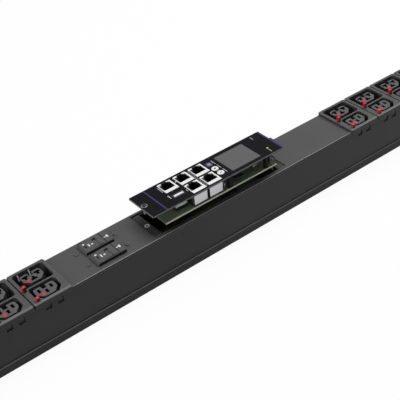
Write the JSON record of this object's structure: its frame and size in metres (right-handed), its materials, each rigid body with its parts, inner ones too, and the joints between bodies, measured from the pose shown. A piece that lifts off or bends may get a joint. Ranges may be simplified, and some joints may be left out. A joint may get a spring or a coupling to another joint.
{
  "type": "rack power distribution unit",
  "caption": "Vertical rack power strip: folded steel housing with latching outlet blocks, tipping breakers and a lift-out controller with display and network jacks.",
  "frame": {"origin": "centre of the flat rear face", "axes": "+X along the bar away from the cord gland, +Y across it towards the wide outlets, +Z from the rear face to the outlet face"},
  "size_m": [0.8162, 0.059, 0.0886],
  "materials": {
    "housing_paint": "fine textured dark grey powder coat",
    "cap_plastic": "matte black",
    "gland_plastic": "matte black",
    "outlet_plastic": "fine moulded dark grey",
    "latch_red": "satin red",
    "copper_bar": "plain stamped bar",
    "breaker_plastic": "moulded dark grey",
    "rocker_plastic": "satin dark grey",
    "screw_steel": "zinc plated",
    "dark_screw": "dark grey",
    "fascia_plastic": "smooth black overlay with violet bands",
    "display_glass": "grey display",
    "jack_plastic": "white",
    "port_steel": "tinned shell",
    "board_laminate": "green circuit board",
    "standoff_plastic": "black",
    "lamp_lens": "clear tinted",
    "tray_paint": "dark grey",
    "button_violet": "satin",
    "button_white": "satin"
  },
  "bodies": {
    "chassis": {"base_channel": "housing_paint", "cover_shell": "housing_paint", "end_cap_left": "cap_plastic", "end_cap_right": "cap_plastic", "gland_body": "gland_plastic", "gland_nut": "gland_plastic", "breaker_screws": "dark_screw", "bay_tray": "tray_paint", "bay_insert": "screw_steel", "bay_sockets": "standoff_plastic", "outlet_block_1": "outlet_plastic", "outlet_block_2": "outlet_plastic", "outlet_block_3": "outlet_plastic", "outlet_block_4": "outlet_plastic", "outlet_block_5": "outlet_plastic", "outlet_block_6": "outlet_plastic", "outlet_block_7": "outlet_plastic", "outlet_block_8": "outlet_plastic", "line_busbar_left": "copper_bar", "neutral_busbar_left": "copper_bar", "earth_busbar_left": "copper_bar", "line_busbar_right": "copper_bar", "neutral_busbar_right": "copper_bar", "earth_busbar_right": "copper_bar", "breaker_body_1": "breaker_plastic", "breaker_body_2": "breaker_plastic"},
    "controller": {"fascia_panel": "fascia_plastic", "usb_port": "port_steel", "display_window": "display_glass", "status_lamps": "lamp_lens", "controller_board": "board_laminate", "board_standoffs": "standoff_plastic", "board_plugs": "standoff_plastic", "network_jack_1": "jack_plastic", "network_jack_2": "jack_plastic", "network_jack_3": "jack_plastic", "network_jack_4": "jack_plastic", "network_jack_5": "jack_plastic"},
    "captive_screw": {"captive_screw": "screw_steel"},
    "lock_latch_small_1": {"lock_latch_small_1": "latch_red"},
    "lock_latch_wide_1": {"lock_latch_wide_1": "latch_red"},
    "lock_latch_small_2": {"lock_latch_small_2": "latch_red"},
    "lock_latch_wide_2": {"lock_latch_wide_2": "latch_red"},
    "lock_latch_small_3": {"lock_latch_small_3": "latch_red"},
    "lock_latch_wide_3": {"lock_latch_wide_3": "latch_red"},
    "lock_latch_small_4": {"lock_latch_small_4": "latch_red"},
    "lock_latch_wide_4": {"lock_latch_wide_4": "latch_red"},
    "lock_latch_small_5": {"lock_latch_small_5": "latch_red"},
    "lock_latch_wide_5": {"lock_latch_wide_5": "latch_red"},
    "lock_latch_small_6": {"lock_latch_small_6": "latch_red"},
    "lock_latch_wide_6": {"lock_latch_wide_6": "latch_red"},
    "lock_latch_small_7": {"lock_latch_small_7": "latch_red"},
    "lock_latch_wide_7": {"lock_latch_wide_7": "latch_red"},
    "lock_latch_small_8": {"lock_latch_small_8": "latch_red"},
    "lock_latch_wide_8": {"lock_latch_wide_8": "latch_red"},
    "breaker_rocker_1": {"breaker_rocker_1": "rocker_plastic"},
    "breaker_rocker_2": {"breaker_rocker_2": "rocker_plastic"},
    "menu_button_1": {"menu_button_1": "button_violet"},
    "menu_button_2": {"menu_button_2": "button_white"},
    "menu_button_3": {"menu_button_3": "button_white"}
  },
  "joints": [
    {"name": "controller_lift", "type": "slide", "parent": "chassis", "child": "controller", "axis": [0, 0, 1], "range_m": [-0.0251, 0.015]},
    {"name": "captive_screw_turn", "type": "hinge", "parent": "controller", "child": "captive_screw", "pos_m": [-0.0837, 0, 0.0865], "axis": [0, 0, 1], "continuous": true},
    {"name": "lock_latch_small_1_press", "type": "slide", "parent": "chassis", "child": "lock_latch_small_1", "axis": [0, 0, -1], "range_m": [0, 0.002], "stiffness_N_per_m": 600, "springref_m": -0.001},
    {"name": "lock_latch_wide_1_press", "type": "slide", "parent": "chassis", "child": "lock_latch_wide_1", "axis": [0, 0, -1], "range_m": [0, 0.002], "stiffness_N_per_m": 600, "springref_m": -0.001},
    {"name": "lock_latch_small_2_press", "type": "slide", "parent": "chassis", "child": "lock_latch_small_2", "axis": [0, 0, -1], "range_m": [0, 0.002], "stiffness_N_per_m": 600, "springref_m": -0.001},
    {"name": "lock_latch_wide_2_press", "type": "slide", "parent": "chassis", "child": "lock_latch_wide_2", "axis": [0, 0, -1], "range_m": [0, 0.002], "stiffness_N_per_m": 600, "springref_m": -0.001},
    {"name": "lock_latch_small_3_press", "type": "slide", "parent": "chassis", "child": "lock_latch_small_3", "axis": [0, 0, -1], "range_m": [0, 0.002], "stiffness_N_per_m": 600, "springref_m": -0.001},
    {"name": "lock_latch_wide_3_press", "type": "slide", "parent": "chassis", "child": "lock_latch_wide_3", "axis": [0, 0, -1], "range_m": [0, 0.002], "stiffness_N_per_m": 600, "springref_m": -0.001},
    {"name": "lock_latch_small_4_press", "type": "slide", "parent": "chassis", "child": "lock_latch_small_4", "axis": [0, 0, -1], "range_m": [0, 0.002], "stiffness_N_per_m": 600, "springref_m": -0.001},
    {"name": "lock_latch_wide_4_press", "type": "slide", "parent": "chassis", "child": "lock_latch_wide_4", "axis": [0, 0, -1], "range_m": [0, 0.002], "stiffness_N_per_m": 600, "springref_m": -0.001},
    {"name": "lock_latch_small_5_press", "type": "slide", "parent": "chassis", "child": "lock_latch_small_5", "axis": [0, 0, -1], "range_m": [0, 0.002], "stiffness_N_per_m": 600, "springref_m": -0.001},
    {"name": "lock_latch_wide_5_press", "type": "slide", "parent": "chassis", "child": "lock_latch_wide_5", "axis": [0, 0, -1], "range_m": [0, 0.002], "stiffness_N_per_m": 600, "springref_m": -0.001},
    {"name": "lock_latch_small_6_press", "type": "slide", "parent": "chassis", "child": "lock_latch_small_6", "axis": [0, 0, -1], "range_m": [0, 0.002], "stiffness_N_per_m": 600, "springref_m": -0.001},
    {"name": "lock_latch_wide_6_press", "type": "slide", "parent": "chassis", "child": "lock_latch_wide_6", "axis": [0, 0, -1], "range_m": [0, 0.002], "stiffness_N_per_m": 600, "springref_m": -0.001},
    {"name": "lock_latch_small_7_press", "type": "slide", "parent": "chassis", "child": "lock_latch_small_7", "axis": [0, 0, -1], "range_m": [0, 0.002], "stiffness_N_per_m": 600, "springref_m": -0.001},
    {"name": "lock_latch_wide_7_press", "type": "slide", "parent": "chassis", "child": "lock_latch_wide_7", "axis": [0, 0, -1], "range_m": [0, 0.002], "stiffness_N_per_m": 600, "springref_m": -0.001},
    {"name": "lock_latch_small_8_press", "type": "slide", "parent": "chassis", "child": "lock_latch_small_8", "axis": [0, 0, -1], "range_m": [0, 0.002], "stiffness_N_per_m": 600, "springref_m": -0.001},
    {"name": "lock_latch_wide_8_press", "type": "slide", "parent": "chassis", "child": "lock_latch_wide_8", "axis": [0, 0, -1], "range_m": [0, 0.002], "stiffness_N_per_m": 600, "springref_m": -0.001},
    {"name": "breaker_rocker_1_tip", "type": "hinge", "parent": "chassis", "child": "breaker_rocker_1", "pos_m": [-0.1458, -0.01165, 0.0615], "axis": [0, 1, 0], "range_deg": [0, 14]},
    {"name": "breaker_rocker_2_tip", "type": "hinge", "parent": "chassis", "child": "breaker_rocker_2", "pos_m": [-0.1458, 0.01165, 0.0615], "axis": [0, 1, 0], "range_deg": [0, 14]},
    {"name": "menu_button_1_press", "type": "slide", "parent": "controller", "child": "menu_button_1", "axis": [0, 0, -1], "range_m": [0, 0.0006], "stiffness_N_per_m": 800, "springref_m": -0.0005},
    {"name": "menu_button_2_press", "type": "slide", "parent": "controller", "child": "menu_button_2", "axis": [0, 0, -1], "range_m": [0, 0.0006], "stiffness_N_per_m": 800, "springref_m": -0.0005},
    {"name": "menu_button_3_press", "type": "slide", "parent": "controller", "child": "menu_button_3", "axis": [0, 0, -1], "range_m": [0, 0.0006], "stiffness_N_per_m": 800, "springref_m": -0.0005}
  ]
}
